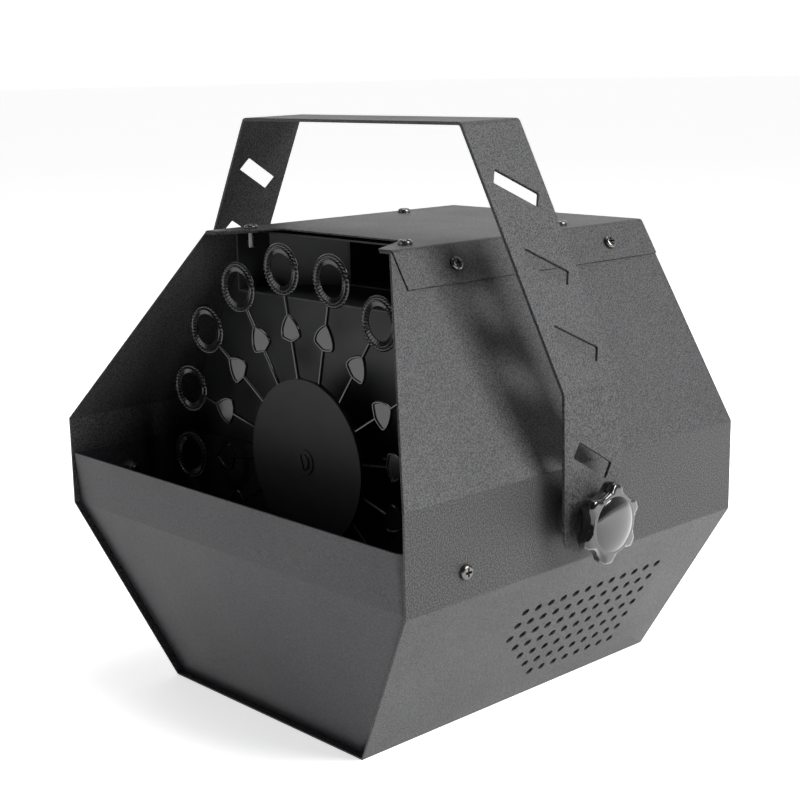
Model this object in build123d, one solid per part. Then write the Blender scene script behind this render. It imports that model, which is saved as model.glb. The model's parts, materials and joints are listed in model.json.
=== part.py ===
from build123d import *
import os
from math import cos, hypot, radians, sin, tan

os.makedirs("parts", exist_ok=True)

# Millimetres. +X is the machine's right side, -Y its front, +Z up.
# The origin is on the floor, under the middle of the case's depth and width.

# ---- Case: bent sheet steel, a hexagon seen from the front, with a front edge that leans back ----
case_depth = 240.0
case_width = 270.0
base_width = 154.5
top_width = 145.0
case_height = 245.0
crease_low = 93.0
crease_high = 141.5
base_front_setback = 24.0
top_front_setback = 53.0
shell_wall = 1.0
bend_radius = 2.0
top_flange = 19.0
rear_lip = 11.0
panel_wall = 1.0
panel_gap = 0.2

# ---- Top cover ----
cover_wall = 0.8
cover_flange_drop = 17.8
cover_front_step = 0.5
cutout_front_half = 63.5
cutout_rear_half = 46.0
cutout_rear_step = 1.0
top_screw_inset = 12.3
top_screw_front_inset = 20.5
top_screw_rear_inset = 52.7
flange_screw_drop = 9.7
flange_screw_front_inset = 36.0
flange_screw_rear_inset = 35.0

# ---- M4 pan-head screws and their holes ----
m4_shank = 4.0
m4_head = 7.2
m4_head_height = 2.4
m3_shank = 3.0
m3_head = 5.6
m3_head_height = 2.0
hole_clearance = 0.3

# ---- Air vents in the right lower side: square grid, rows shorten from the front ----
vent_hole = 4.6
vent_pitch = 9.4
vent_row_pitch = 9.9
vent_first_row = 29.4
vent_rear_inset = 42.0
vent_rows = (12, 12, 12, 11, 10, 9, 8)

# ---- Fluid tank ----
tank_wall = 0.8
tank_side_gap = 0.5
tank_rim_z = 122.0
tank_rear_gap = 2.0
tank_corner = 8.0
tank_left_corner = 1.2
tank_right_corner = 6.0
tank_rim_recess = 0.6
tank_crease_recess = 3.2
tank_base_recess = 4.2
tank_screw_inset = 37.0
tank_screw_drop = 15.5
tank_nut_across = 7.0
tank_nut_height = 3.2

# ---- Partition behind the wheel ----
partition_setback = 83.5
partition_wall = 0.8
partition_tab = 12.0
partition_gap = 0.3

# ---- Bubble wheel ----
wheel_stand_off = 24.5
wheel_z = 129.5
wand_count = 16
wand_phase = 7.5
ring_circle = 100.0
wand_lean = 3.0
ring_outer = 13.9
ring_inner = 8.5
ring_depth = 3.4
spoke_width = 1.7
spoke_depth = 2.1
leaf_base = 62.4
leaf_tip = 77.6
leaf_shoulder = 2.8
leaf_corner = 1.4
leaf_half_width = 7.6
leaf_rim = 1.4
leaf_web = 0.8
disc_radius = 43.3
disc_depth = 1.0
hub_plate_radius = 44.0
hub_sleeve_wall = 3.0
hub_sleeve_gap = 9.5
hub_cap_radius = 6.8
hub_flange_height = 0.7
hub_head_radius = 4.4
hub_cap_height = 1.7
hub_slot_width = 1.2
hub_slot_angle = -72.0
hub_screw_radius = 2.0
hub_screw_length = 14.0

# ---- Gear motor behind the partition ----
shaft_radius = 3.5
running_gap = 0.05
gearbox_radius = 25.0
gearbox_depth = 16.0
motor_can_radius = 24.0
motor_can_depth = 19.0
gearbox_boss_wall = 2.05
gearbox_boss_length = 2.6
motor_ear_radius = 33.5
motor_ear_angle = 0.0
motor_ear_width = 10.0
motor_ear_depth = 2.0

# ---- Air duct and centrifugal blower ----
duct_wall = 1.0
duct_side_gap = 4.1
duct_overhang = 13.5
duct_straight = 8.5
duct_length = 36.5
duct_rear_half = 30.0
duct_height = 31.4
duct_top_gap = 1.8
duct_lid_step = 2.5
blower_wall = 1.2
blower_half = 28.0
blower_reach = 53.0
blower_outlet_lap = 5.0
blower_outlet_gap = 0.4
scroll_radii = (60.0, 54.0, 48.0, 42.0)
scroll_last_turn = 50.0
scroll_step = 6.0
impeller_radius = 38.0
impeller_rear_x = -20.0
impeller_front_x = 22.5
impeller_blades = 28
blade_length = 8.0
blade_thickness = 0.9
blade_sweep = 25.0
impeller_ring = 1.8
impeller_hub_radius = 8.0
impeller_hub_length = 12.0
inlet_radius = 30.0
inlet_lip = 3.6
blower_motor_radius = 28.0
blower_motor_length = 40.0
blower_boss_radius = 9.0
blower_boss_length = 5.0
blower_shaft_radius = 3.0
blower_screw_circle = 20.0
bracket_wall = 1.5
bracket_half = 27.0
bracket_rise = 26.0
bracket_foot = 22.0

# ---- Handle bracket, its pivots and its knobs ----
pivot_y = -8.0
pivot_z = (crease_low + crease_high) / 2
handle_strip = 40.4
handle_wall = 1.6
handle_stand_off = 10.0
handle_rise = 185.8
handle_bend_rise = 63.5
handle_top_half = 83.4
handle_foot = 13.9
handle_foot_corner = 9.0
handle_bend_radius = 3.5
handle_lean = 0.8
slot_length = 27.7
slot_width = 8.2
slot_corner = 0.7
slot_tilt = -32.0
slot_stations = (35.7, 76.3, 115.2)
low_slot_drop = 34.8
stud_radius = 4.0
stud_gap = 0.08
body_gap = 0.3
spacer_radius = 12.0
spacer_bore = 8.2
rivet_nut_flange_radius = 7.5
rivet_nut_flange = 1.5
rivet_nut_wall = 1.42
rivet_nut_length = 16.0
washer_radius = 11.0
washer_wall = 1.2
knob_radius = 20.0
knob_root = 15.6
knob_lobes = 6
knob_phase = 20.0
knob_scallop = 12.0
knob_boss_radius = 9.0
knob_boss = 3.4
knob_rim = 8.0
knob_dome_radius = 13.8
knob_dome = 2.6
knob_bore_depth = 9.0

# ---- Power entry, switch and wiring at the rear ----
entry_x = -62.0
entry_z = 52.0
entry_flange_x = 31.0
entry_flange_z = 38.0
entry_flange_wall = 2.0
entry_body_x = 27.4
entry_body_z = 33.0
entry_depth = 26.0
entry_socket_x = 24.0
entry_socket_z = 16.0
entry_socket_depth = 17.0
entry_socket_z_shift = 6.5
pin_width = 2.0
pin_height = 4.0
pin_length = 15.0
pin_spacing = 7.0
drawer_x = 22.0
drawer_z = 7.6
drawer_depth = 23.0
drawer_z_shift = -10.0
fuse_radius = 2.5
fuse_length = 19.0
switch_x = -62.0
switch_z = 98.0
switch_bezel_x = 15.0
switch_bezel_z = 21.0
switch_body_x = 13.0
switch_body_z = 19.2
switch_depth = 22.0
switch_bezel_wall = 2.0
rocker_x = 10.2
rocker_z = 16.0
rocker_radius = 11.0
rocker_tilt = 7.0
rocker_axis_step = 0.6
rocker_pin_radius = 1.2
rocker_pin_reach = 1.0
block_x = 25.0
block_inset = 32.0
block_length = 30.0
block_width = 18.0
block_height = 14.0
block_ways = 3
lead_radius = 2.2
earth_x = -62.0
earth_inset = 50.0
earth_radius = 2.0
earth_height = 12.0

# ---- Sizes that follow ----
half_depth = case_depth / 2
mid_half = case_width / 2
base_half = base_width / 2
top_half = top_width / 2
shell_top = case_height - cover_wall
front_mid_y = -half_depth
front_top_y = front_mid_y + top_front_setback
front_base_y = front_mid_y + base_front_setback
cover_front_y = front_top_y + cover_front_step
partition_y = front_mid_y + partition_setback
cutout_rear_y = partition_y + cutout_rear_step
tank_rear_y = partition_y - tank_rear_gap
tank_screw_y = front_mid_y + tank_screw_inset
tank_screw_z = tank_rim_z - tank_screw_drop
wheel_y = partition_y - wheel_stand_off
inner_rear_y = half_depth - panel_wall
low_run = mid_half - base_half
low_length = hypot(low_run, crease_low)
high_run = mid_half - top_half
high_rise = shell_top - crease_high
high_length = hypot(high_run, high_rise)
wheel_front_y = wheel_y - spoke_depth / 2
hub_sleeve_radius = shaft_radius + hub_sleeve_wall
hub_sleeve_rear_y = partition_y - hub_sleeve_gap
motor_front_y = partition_y + partition_wall
gearbox_boss_radius = shaft_radius + running_gap + gearbox_boss_wall
duct_half = top_half - duct_side_gap
duct_front_y = partition_y - duct_overhang
duct_straight_y = partition_y + duct_straight
duct_rear_y = partition_y + duct_length
duct_lid_front_y = partition_y + duct_lid_step
duct_high_z = shell_top - duct_top_gap
duct_low_z = duct_high_z - duct_height
blower_y = duct_rear_y + blower_reach
blower_outlet_y = duct_rear_y - blower_outlet_lap
blower_top_z = duct_high_z - duct_wall - blower_outlet_gap
blower_outlet_low = duct_low_z + duct_wall + blower_outlet_gap
blower_z = blower_top_z - (scroll_radii[0] + scroll_step / 2)
bracket_top_z = blower_z + bracket_rise
handle_inner_half = mid_half + handle_stand_off
handle_outer_half = handle_inner_half + handle_wall
rivet_nut_radius = stud_radius + stud_gap + rivet_nut_wall
knob_seat = handle_outer_half + washer_wall + body_gap
block_y = half_depth - block_inset
earth_y = half_depth - earth_inset

BOTTOM = (Align.CENTER, Align.CENTER, Align.MIN)
TOP = (Align.CENTER, Align.CENTER, Align.MAX)


# ---------------------------------------------------------------- helpers
def half_width(z, inset=0.0):
    """Half the case's width at height z, measured to a surface that lies inset inside the skin."""
    if z < crease_low:
        return base_half + low_run * z / crease_low - inset * low_length / crease_low
    if z <= crease_high:
        return mid_half - inset
    return mid_half - high_run * (z - crease_high) / high_rise - inset * high_length / high_rise


def front_edge(z):
    """Where the case's front edge lies at height z, at or below the upper crease."""
    if z < crease_low:
        return front_base_y + (front_mid_y - front_base_y) * z / crease_low
    return front_mid_y


def prism_x(face, low, high):
    """Extrude a face drawn in (y, z) between two values of x."""
    return extrude(Plane.YZ.offset(low) * face, high - low)


def prism_y(face, front, rear):
    """Extrude a face drawn in (x, z) between two values of y."""
    return extrude(Plane.XZ.offset(-rear) * face, rear - front)


def block(x_span, y_span, z_span):
    """Box given by its limits along each axis."""
    size = [high - low for low, high in (x_span, y_span, z_span)]
    middle = [(high + low) / 2 for low, high in (x_span, y_span, z_span)]
    return Pos(*middle) * Box(*size)


def rod(radius, start, direction, length):
    """Cylinder that starts at a point and runs along a direction."""
    return Plane(origin=start, z_dir=direction) * Cylinder(radius, length, align=BOTTOM)


def both_sides(part):
    """The part and its mirror image across the middle of the machine."""
    return [part, mirror(part, Plane.YZ)]


def write(name, *solids):
    """Export one node, as a single solid or a group of separate ones."""
    shape = solids[0] if len(solids) == 1 else Compound(children=list(solids))
    export_step(shape, f"parts/{name}.step")


def pan_screw(shank, length, head, head_height):
    """Cross-recess pan-head screw: the head stands on z = 0 and the shank runs down."""
    dome = Cylinder(head / 2, head_height, align=BOTTOM)
    crown = dome.edges().filter_by(GeomType.CIRCLE).sort_by(Axis.Z)[-1]
    dome = fillet(crown, head_height * 0.62)
    recess_depth = head_height * 0.6
    arm = Pos(0, 0, head_height) * Box(head * 0.6, head * 0.15, recess_depth * 2)
    body = dome + Cylinder(shank / 2, length, align=TOP)
    return body - arm - Rot(0, 0, 90) * arm


def m4_screw(length):
    return pan_screw(m4_shank, length, m4_head, m4_head_height)


def m3_screw(length):
    return pan_screw(m3_shank, length, m3_head, m3_head_height)


def hex_nut(across, height, bore):
    """Nut that stands on z = 0."""
    nut = extrude(RegularPolygon(across / 2, 6, major_radius=False), height)
    return nut - Cylinder(bore / 2, height * 3)


def case_face(inset=0.0):
    """The case's closed outline seen from the front, moved in by inset, with bent corners."""
    corners = [
        (-base_half, 0), (base_half, 0), (mid_half, crease_low), (mid_half, crease_high),
        (top_half, shell_top), (-top_half, shell_top), (-mid_half, crease_high), (-mid_half, crease_low),
    ]
    face = make_face(Polyline(*corners, close=True))
    if inset:
        face = offset(face, -inset, kind=Kind.INTERSECTION)
    return fillet(face.vertices(), max(bend_radius - inset, bend_radius / 4))


def side_profile():
    """Everything between the leaning front edges and the flat rear, as a wide block."""
    corners = [
        (front_base_y, -1), (half_depth, -1), (half_depth, shell_top), (front_top_y, shell_top),
        (front_mid_y, crease_high), (front_mid_y, crease_low), (front_base_y, 0),
    ]
    return prism_x(make_face(Polyline(*corners, close=True)), -case_width, case_width)


def cutout(grow=0.0):
    """The trapezoid notch in the top, over the wheel."""
    front_y = cover_front_y - 10
    spread = (cutout_front_half - cutout_rear_half) / (cutout_rear_y - cover_front_y)
    front_half = cutout_rear_half + spread * (cutout_rear_y - front_y) + grow
    rear_half = cutout_rear_half + grow
    rear_y = cutout_rear_y + grow
    corners = [(-front_half, front_y), (front_half, front_y), (rear_half, rear_y), (-rear_half, rear_y)]
    floor = case_height - 12
    return extrude(Pos(0, 0, floor) * make_face(Polyline(*corners, close=True)), 20)


# ---------------------------------------------------------------- where the fasteners sit
upper_normal = (high_rise / high_length, 0, high_run / high_length)
lower_normal = (crease_low / low_length, 0, -low_run / low_length)
top_screw_spots = [
    (side * (top_half - top_screw_inset), y)
    for side in (-1, 1)
    for y in (cover_front_y + top_screw_front_inset, half_depth - top_screw_rear_inset)
]
flange_screw_z = case_height - flange_screw_drop
flange_screw_spots = [
    (half_width(flange_screw_z, -cover_wall), y, flange_screw_z)
    for y in (cover_front_y + flange_screw_front_inset, half_depth - flange_screw_rear_inset)
]
lip_mid = shell_wall + rear_lip / 2
panel_screw_spots = [
    (side * x, z)
    for side in (-1, 1)
    for x, z in (
        (base_half * 0.6, lip_mid),
        (mid_half - lip_mid, (crease_low + crease_high) / 2),
        (half_width(shell_top - 34, lip_mid), shell_top - 34),
    )
]
ear_step = (
    motor_ear_radius * cos(radians(motor_ear_angle)),
    motor_ear_radius * sin(radians(motor_ear_angle)),
)
ear_spots = [(side * ear_step[0], wheel_z + side * ear_step[1]) for side in (-1, 1)]
blower_screw_spots = [
    (blower_y + blower_screw_circle * cos(radians(a)), blower_z + blower_screw_circle * sin(radians(a)))
    for a in (90, 210, 330)
]
foot_screw_spots = [(-blower_half - bracket_foot * 0.6, blower_y + dy) for dy in (-18, 18)]


# ---------------------------------------------------------------- case
def vent_holes():
    """Vent drills across the right lower side, rows counted down from the crease."""
    slope = Plane(origin=(mid_half, 0, crease_low), x_dir=(0, 1, 0), z_dir=lower_normal)
    spots = []
    for row, count in enumerate(vent_rows):
        down = vent_first_row + row * vent_row_pitch
        rear_y = half_depth - vent_rear_inset
        spots += [(rear_y - column * vent_pitch, -down) for column in range(count)]
    drill = Cylinder(vent_hole / 2, shell_wall * 8)
    return [slope * (Pos(x, y) * drill) for x, y in spots]


def body_shell():
    """Base and both sides in one bent sheet, with flanges for the cover and lips for the rear panel."""
    shell = prism_y(case_face(), -half_depth, half_depth)
    shell -= prism_y(case_face(shell_wall), -half_depth - 1, half_depth + 1)
    shell = shell & side_profile()
    gap_half = top_half - top_flange
    shell -= block((-gap_half, gap_half), (-case_depth, case_depth), (shell_top - 5, shell_top + 5))
    shell -= cutout(1.0)
    lip_rear = inner_rear_y
    lip = prism_y(case_face(shell_wall), lip_rear - shell_wall, lip_rear)
    lip -= prism_y(case_face(shell_wall + rear_lip), lip_rear - 5, lip_rear + 5)
    lip -= block((-gap_half, gap_half), (0, case_depth), (shell_top - rear_lip - 5, shell_top + 5))
    shell += lip
    drills = vent_holes()
    drills += [rod(rivet_nut_radius, (side * mid_half - 5, pivot_y, pivot_z), (1, 0, 0), 10) for side in (-1, 1)]
    hole = m4_shank / 2 + hole_clearance / 2
    drills += [rod(hole, (x, y, shell_top - 5), (0, 0, 1), 10) for x, y in top_screw_spots]
    drills += [rod(hole, (-case_width, tank_screw_y, tank_screw_z), (1, 0, 0), case_width * 2)]
    for spot in flange_screw_spots:
        drills += both_sides(Plane(origin=spot, z_dir=upper_normal) * Cylinder(hole, 12))
    small = m3_shank / 2
    drills += [rod(small, (x, inner_rear_y - 5, z), (0, 1, 0), 10) for x, z in panel_screw_spots]
    drills += [rod(hole, (x, y, -2), (0, 0, 1), 5) for x, y in foot_screw_spots]
    drills += [rod(earth_radius, (earth_x, earth_y, -2), (0, 0, 1), 5)]
    return shell - drills


def rear_panel():
    """Flat hexagonal panel that closes the rear, with openings for the power entry and the switch."""
    panel = prism_y(case_face(shell_wall + panel_gap), inner_rear_y, half_depth)
    through = (inner_rear_y - 5, half_depth + 5)
    panel -= block(
        (entry_x - entry_body_x / 2 - panel_gap, entry_x + entry_body_x / 2 + panel_gap), through,
        (entry_z - entry_body_z / 2 - panel_gap, entry_z + entry_body_z / 2 + panel_gap),
    )
    panel -= block(
        (switch_x - switch_body_x / 2 - panel_gap, switch_x + switch_body_x / 2 + panel_gap), through,
        (switch_z - switch_body_z / 2 - panel_gap, switch_z + switch_body_z / 2 + panel_gap),
    )
    hole = (m3_shank + hole_clearance) / 2
    return panel - [rod(hole, (x, inner_rear_y - 5, z), (0, 1, 0), 10) for x, z in panel_screw_spots]


def top_cover():
    """Cover with a flange down each upper side and the notch over the wheel."""
    cover = prism_y(case_face(-cover_wall), cover_front_y, half_depth)
    cover -= prism_y(case_face(), cover_front_y - 1, half_depth + 1)
    cover &= block((-case_width, case_width), (-case_depth, case_depth),
                   (case_height - cover_flange_drop, case_height + 5))
    cover -= cutout()
    hole = (m4_shank + hole_clearance) / 2
    cover -= [rod(hole, (x, y, case_height - 5), (0, 0, 1), 10) for x, y in top_screw_spots]
    for spot in flange_screw_spots:
        cover -= both_sides(Plane(origin=spot, z_dir=upper_normal) * Cylinder(hole, 12))
    return cover


def partition_panel():
    """Upright panel behind the wheel that carries the gear motor and frames the duct."""
    rear = partition_y + partition_wall
    panel = prism_y(case_face(shell_wall + partition_gap), partition_y, rear)
    panel -= block((-duct_half, duct_half), (partition_y - 5, rear + 5), (duct_low_z, shell_top + 5))
    edge = mid_half - shell_wall
    tab = block((edge - partition_wall, edge), (partition_y, partition_y + partition_tab),
                (crease_low + 4, crease_high - 4))
    foot = block((-base_half * 0.8, base_half * 0.8), (partition_y, partition_y + partition_tab),
                 (shell_wall, shell_wall + partition_wall))
    panel += both_sides(tab)
    panel += foot
    panel -= rod(gearbox_boss_radius + hole_clearance, (0, partition_y - 5, wheel_z), (0, 1, 0), 10)
    hole = m4_shank / 2
    return panel - [rod(hole, (x, partition_y - 5, z), (0, 1, 0), 10) for x, z in ear_spots]


# ---------------------------------------------------------------- fluid tank
def tank_form(inset, low_z, high_z):
    """Tapered tub, moved in by inset on every side; its front left corner is a sharp fold."""
    sections = []
    side_inset = shell_wall + tank_side_gap + inset
    levels = ((low_z, tank_base_recess), (crease_low, tank_crease_recess), (high_z, tank_rim_recess))
    for z, recess in levels:
        half = half_width(z, side_inset)
        front = front_edge(z) + recess + inset
        rear = tank_rear_y - inset
        outline = Pos(0, (front + rear) / 2) * Rectangle(half * 2, rear - front)
        outline = fillet(outline.vertices().group_by(Axis.Y)[-1], tank_corner - inset)
        outline = fillet(outline.vertices().group_by(Axis.Y)[0].sort_by(Axis.X)[0], tank_left_corner - inset)
        outline = fillet(outline.vertices().group_by(Axis.Y)[0].sort_by(Axis.X)[-1], tank_right_corner - inset)
        sections.append(Pos(0, 0, z) * outline)
    return loft(sections, ruled=True)


def fluid_tank():
    """Open tank that fills the lower front of the case and holds the bubble fluid."""
    tank = tank_form(0.0, shell_wall, tank_rim_z)
    tank -= tank_form(tank_wall, shell_wall + tank_wall, tank_rim_z + 1)
    hole = (m4_shank + hole_clearance) / 2
    return tank - rod(hole, (-case_width, tank_screw_y, tank_screw_z), (1, 0, 0), case_width * 2)


# ---------------------------------------------------------------- bubble wheel
def leaf_face():
    """Pick-shaped outline with its blunt end towards the hub."""
    shoulder = (leaf_base + leaf_shoulder, leaf_half_width)
    bow = ((leaf_base + leaf_tip) / 2 + 1, leaf_half_width * 0.72)
    base = ThreePointArc((shoulder[0], -shoulder[1]), (leaf_base, 0), shoulder)
    upper = ThreePointArc(shoulder, bow, (leaf_tip, 0))
    lower = ThreePointArc((leaf_tip, 0), (bow[0], -bow[1]), (shoulder[0], -shoulder[1]))
    face = make_face([base, upper, lower])
    for end in (0, -1):
        face = fillet(face.vertices().sort_by(Axis.Y)[end], leaf_corner)
    return face


def wand():
    """One wand along +X, level with z = 0 at the disc's edge and leaning forward from there."""
    ring_edge = ring_circle - ring_outer + 1
    spoke = block((disc_radius - 4, leaf_base + 1), (-spoke_width / 2, spoke_width / 2),
                  (-spoke_depth / 2, spoke_depth / 2))
    stem = block((leaf_tip - 1, ring_edge), (-spoke_width / 2, spoke_width / 2),
                 (-spoke_depth / 2, spoke_depth / 2))
    leaf = leaf_face()
    rim = leaf - offset(leaf, -leaf_rim)
    rim = extrude(Pos(0, 0, -spoke_depth / 2) * rim, spoke_depth)
    web = extrude(Pos(0, 0, -leaf_web / 2) * leaf, leaf_web)
    ring = Cylinder(ring_outer, ring_depth) - Cylinder(ring_inner, ring_depth * 2)
    straight = spoke + stem + rim + web + Pos(ring_circle, 0, 0) * ring
    return Pos(disc_radius, 0, 0) * Rot(0, -wand_lean, 0) * Pos(-disc_radius, 0, 0) * straight


def on_wheel(part, y):
    """Lay a part drawn about +Z onto the wheel's axle, facing the front, at depth y."""
    return Plane(origin=(0, y, wheel_z), x_dir=(1, 0, 0), z_dir=(0, -1, 0)) * part


def wand_wheel():
    """Hub plate, sleeve and all the wands in one moulding."""
    plate = extrude(Pos(0, 0, -spoke_depth / 2) * RegularPolygon(hub_plate_radius, wand_count), spoke_depth)
    sleeve_length = hub_sleeve_rear_y - wheel_y
    wheel = Rot(0, 0, wand_phase) * plate
    wheel += Cylinder(hub_sleeve_radius, sleeve_length, align=TOP)
    step = 360 / wand_count
    wheel += [Rot(0, 0, wand_phase + step * i) * wand() for i in range(wand_count)]
    wheel -= Cylinder(shaft_radius, case_depth)
    return on_wheel(wheel, wheel_y)


def wheel_disc():
    """Flat round disc that covers the spoke roots."""
    disc = Cylinder(disc_radius, disc_depth, align=BOTTOM) - Cylinder(hub_screw_radius, disc_depth * 3)
    return on_wheel(disc, wheel_front_y)


def hub_screw():
    """Slotted screw with a flange, which holds the wheel on its shaft."""
    head = Cylinder(hub_cap_radius, hub_flange_height, align=BOTTOM)
    head += Cylinder(hub_head_radius, hub_cap_height, align=BOTTOM)
    crown = head.edges().filter_by(GeomType.CIRCLE).sort_by(Axis.Z)[-1]
    head = fillet(crown, hub_cap_height * 0.3)
    slot = Box(hub_head_radius * 2, hub_slot_width, hub_cap_height)
    head -= Pos(0, 0, hub_cap_height) * Rot(0, 0, hub_slot_angle) * slot
    return on_wheel(head + Cylinder(hub_screw_radius, hub_screw_length, align=TOP), wheel_front_y - disc_depth)


def drive_shaft():
    """Output shaft from the gearbox to the wheel, tapped at its front end."""
    length = motor_front_y + gearbox_depth - 3 - wheel_front_y
    shaft = Cylinder(shaft_radius, length, align=TOP)
    shaft -= Cylinder(hub_screw_radius, 2 * (hub_screw_length - disc_depth + 1))
    return on_wheel(shaft, wheel_front_y)


# ---------------------------------------------------------------- gear motor
def gearbox():
    """Round gearbox case with two ears and a nose that carries the shaft."""
    box = rod(gearbox_radius, (0, motor_front_y, wheel_z), (0, 1, 0), gearbox_depth)
    ear = SlotCenterToCenter(motor_ear_radius * 2, motor_ear_width)
    ear = Plane.XZ.offset(-(motor_front_y + motor_ear_depth)) * Pos(0, wheel_z) * Rot(0, 0, motor_ear_angle) * ear
    box += extrude(ear, motor_ear_depth)
    box += rod(gearbox_boss_radius, (0, motor_front_y - gearbox_boss_length, wheel_z), (0, 1, 0), 5)
    bore_start = motor_front_y - gearbox_boss_length - 1
    bore_length = gearbox_boss_length + gearbox_depth - 1
    box -= rod(shaft_radius + running_gap, (0, bore_start, wheel_z), (0, 1, 0), bore_length)
    return box - [rod(m4_shank / 2, (x, motor_front_y - 5, z), (0, 1, 0), 10) for x, z in ear_spots]


def gear_motor_can():
    """Drawn steel can of the small synchronous motor that drives the gearbox."""
    can = rod(motor_can_radius, (0, motor_front_y + gearbox_depth, wheel_z), (0, 1, 0), motor_can_depth)
    rim = can.edges().filter_by(GeomType.CIRCLE).sort_by(Axis.Y)[-1]
    return fillet(rim, 2.0)


# ---------------------------------------------------------------- duct and blower
def duct_plan(inset, front, rear):
    """Plan outline of the duct: a straight mouth, then tapering back to the blower."""
    half = duct_half - inset
    back = duct_rear_half - inset
    corners = [
        (-half, front), (half, front), (half, duct_straight_y), (back, duct_rear_y),
        (back, rear), (-back, rear), (-back, duct_rear_y), (-half, duct_straight_y),
    ]
    if rear <= duct_rear_y:
        corners = corners[:4] + corners[6:]
    return make_face(Polyline(*corners, close=True))


def air_duct():
    """Folded sheet duct that spreads the blower's air across the top of the wheel."""
    duct = extrude(Pos(0, 0, duct_low_z) * duct_plan(0, duct_front_y, duct_rear_y), duct_high_z - duct_low_z)
    inner_height = duct_high_z - duct_low_z - 2 * duct_wall
    hollow = duct_plan(duct_wall, duct_front_y - 5, duct_rear_y + 5)
    duct -= extrude(Pos(0, 0, duct_low_z + duct_wall) * hollow, inner_height)
    inner = duct_half - duct_wall
    duct -= block((-inner, inner), (duct_front_y - 5, duct_lid_front_y), (duct_high_z - 5, duct_high_z + 5))
    return duct


def scroll_face(inset, outlet_y):
    """Spiral outline of the blower in (y, z), made of arcs that shrink by a step each quarter turn."""
    radii = [radius - inset for radius in scroll_radii]
    start = (blower_y - scroll_step / 2, blower_top_z - inset)
    roof = Line((outlet_y, blower_top_z - inset), start)
    arcs = []
    heading = 0
    for index, radius in enumerate(radii):
        turn = 90 if index < 3 else scroll_last_turn
        point = start if not arcs else arcs[-1] @ 1
        tangent = (cos(radians(heading)), sin(radians(heading)))
        arcs.append(JernArc(point, tangent, radius, -turn))
        heading -= turn
    floor_z = blower_outlet_low + inset
    tongue = (arcs[-1] @ 1) + Vector(-6, 0)
    floor = Polyline(arcs[-1] @ 1, (tongue.X, floor_z), (outlet_y, floor_z), (outlet_y, blower_top_z - inset))
    return make_face([roof, *arcs, floor])


def blower_housing():
    """Scroll with a closed left side, open to the right where the inlet plate fits."""
    rear_x = -blower_half
    housing = prism_x(scroll_face(0, blower_outlet_y), rear_x, blower_half)
    hollow = scroll_face(blower_wall, blower_outlet_y - 5)
    housing -= prism_x(hollow, rear_x + blower_wall, blower_half + 5)
    housing -= rod(blower_boss_radius + hole_clearance, (rear_x - 5, blower_y, blower_z), (1, 0, 0), 10)
    hole = m4_shank / 2
    return housing - [rod(hole, (rear_x - 5, y, z), (1, 0, 0), 10) for y, z in blower_screw_spots]


def blower_inlet_plate():
    """Side plate of the blower with a lipped round air inlet."""
    plate = prism_x(scroll_face(0, blower_outlet_y + 6), blower_half, blower_half + blower_wall)
    lip_start = (blower_half - inlet_lip, blower_y, blower_z)
    plate += rod(inlet_radius + blower_wall, lip_start, (1, 0, 0), inlet_lip + blower_wall)
    return plate - rod(inlet_radius, (0, blower_y, blower_z), (1, 0, 0), 60)


def impeller():
    """Squirrel-cage wheel: back plate, swept blades, front ring and hub."""
    width = impeller_front_x - impeller_rear_x
    cage = Cylinder(impeller_radius, impeller_ring, align=BOTTOM)
    cage += Cylinder(impeller_hub_radius, impeller_hub_length, align=BOTTOM)
    ring = Cylinder(impeller_radius, impeller_ring, align=TOP)
    ring -= Cylinder(impeller_radius - blade_length * 0.8, width)
    cage += Pos(0, 0, width) * ring
    blade = Rot(0, 0, blade_sweep) * Box(blade_length, blade_thickness, width, align=BOTTOM)
    middle = impeller_radius - blade_length / 2 - 0.2
    step = 360 / impeller_blades
    cage += [Rot(0, 0, step * i) * Pos(middle, 0, 0) * blade for i in range(impeller_blades)]
    cage -= Cylinder(blower_shaft_radius, width * 3)
    return Plane(origin=(impeller_rear_x, blower_y, blower_z), z_dir=(1, 0, 0)) * cage


def blower_motor():
    """Motor can on the blower's left, with a nose that carries the shaft."""
    rear_x = -blower_half - bracket_wall
    can = rod(blower_motor_radius, (rear_x, blower_y, blower_z), (-1, 0, 0), blower_motor_length)
    can = fillet(can.edges().filter_by(GeomType.CIRCLE).sort_by(Axis.X)[0], 3.0)
    can += rod(blower_boss_radius, (rear_x - 1, blower_y, blower_z), (1, 0, 0), blower_boss_length + 1)
    bore_start = rear_x - blower_motor_length + 4
    can -= rod(blower_shaft_radius + running_gap, (bore_start, blower_y, blower_z), (1, 0, 0), 60)
    hole = m4_shank / 2
    return can - [rod(hole, (rear_x - 8, y, z), (1, 0, 0), 12) for y, z in blower_screw_spots]


def blower_shaft():
    start_x = -blower_half - bracket_wall - blower_motor_length + 5
    length = impeller_rear_x + impeller_hub_length - start_x
    return rod(blower_shaft_radius, (start_x, blower_y, blower_z), (1, 0, 0), length)


def blower_bracket():
    """Folded stand that bolts to the base and is clamped between the blower and its motor."""
    plate_x = (-blower_half - bracket_wall, -blower_half)
    plate_y = (blower_y - bracket_half, blower_y + bracket_half)
    stand = block(plate_x, plate_y, (shell_wall, bracket_top_z))
    stand += block((-blower_half - bracket_foot, -blower_half), plate_y, (shell_wall, shell_wall + bracket_wall))
    stand -= rod(blower_boss_radius + hole_clearance, (-60, blower_y, blower_z), (1, 0, 0), 60)
    hole = m4_shank / 2
    stand -= [rod(hole, (-60, y, z), (1, 0, 0), 60) for y, z in blower_screw_spots]
    return stand - [rod(hole, (x, y, 0), (0, 0, 1), 10) for x, y in foot_screw_spots]


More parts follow.
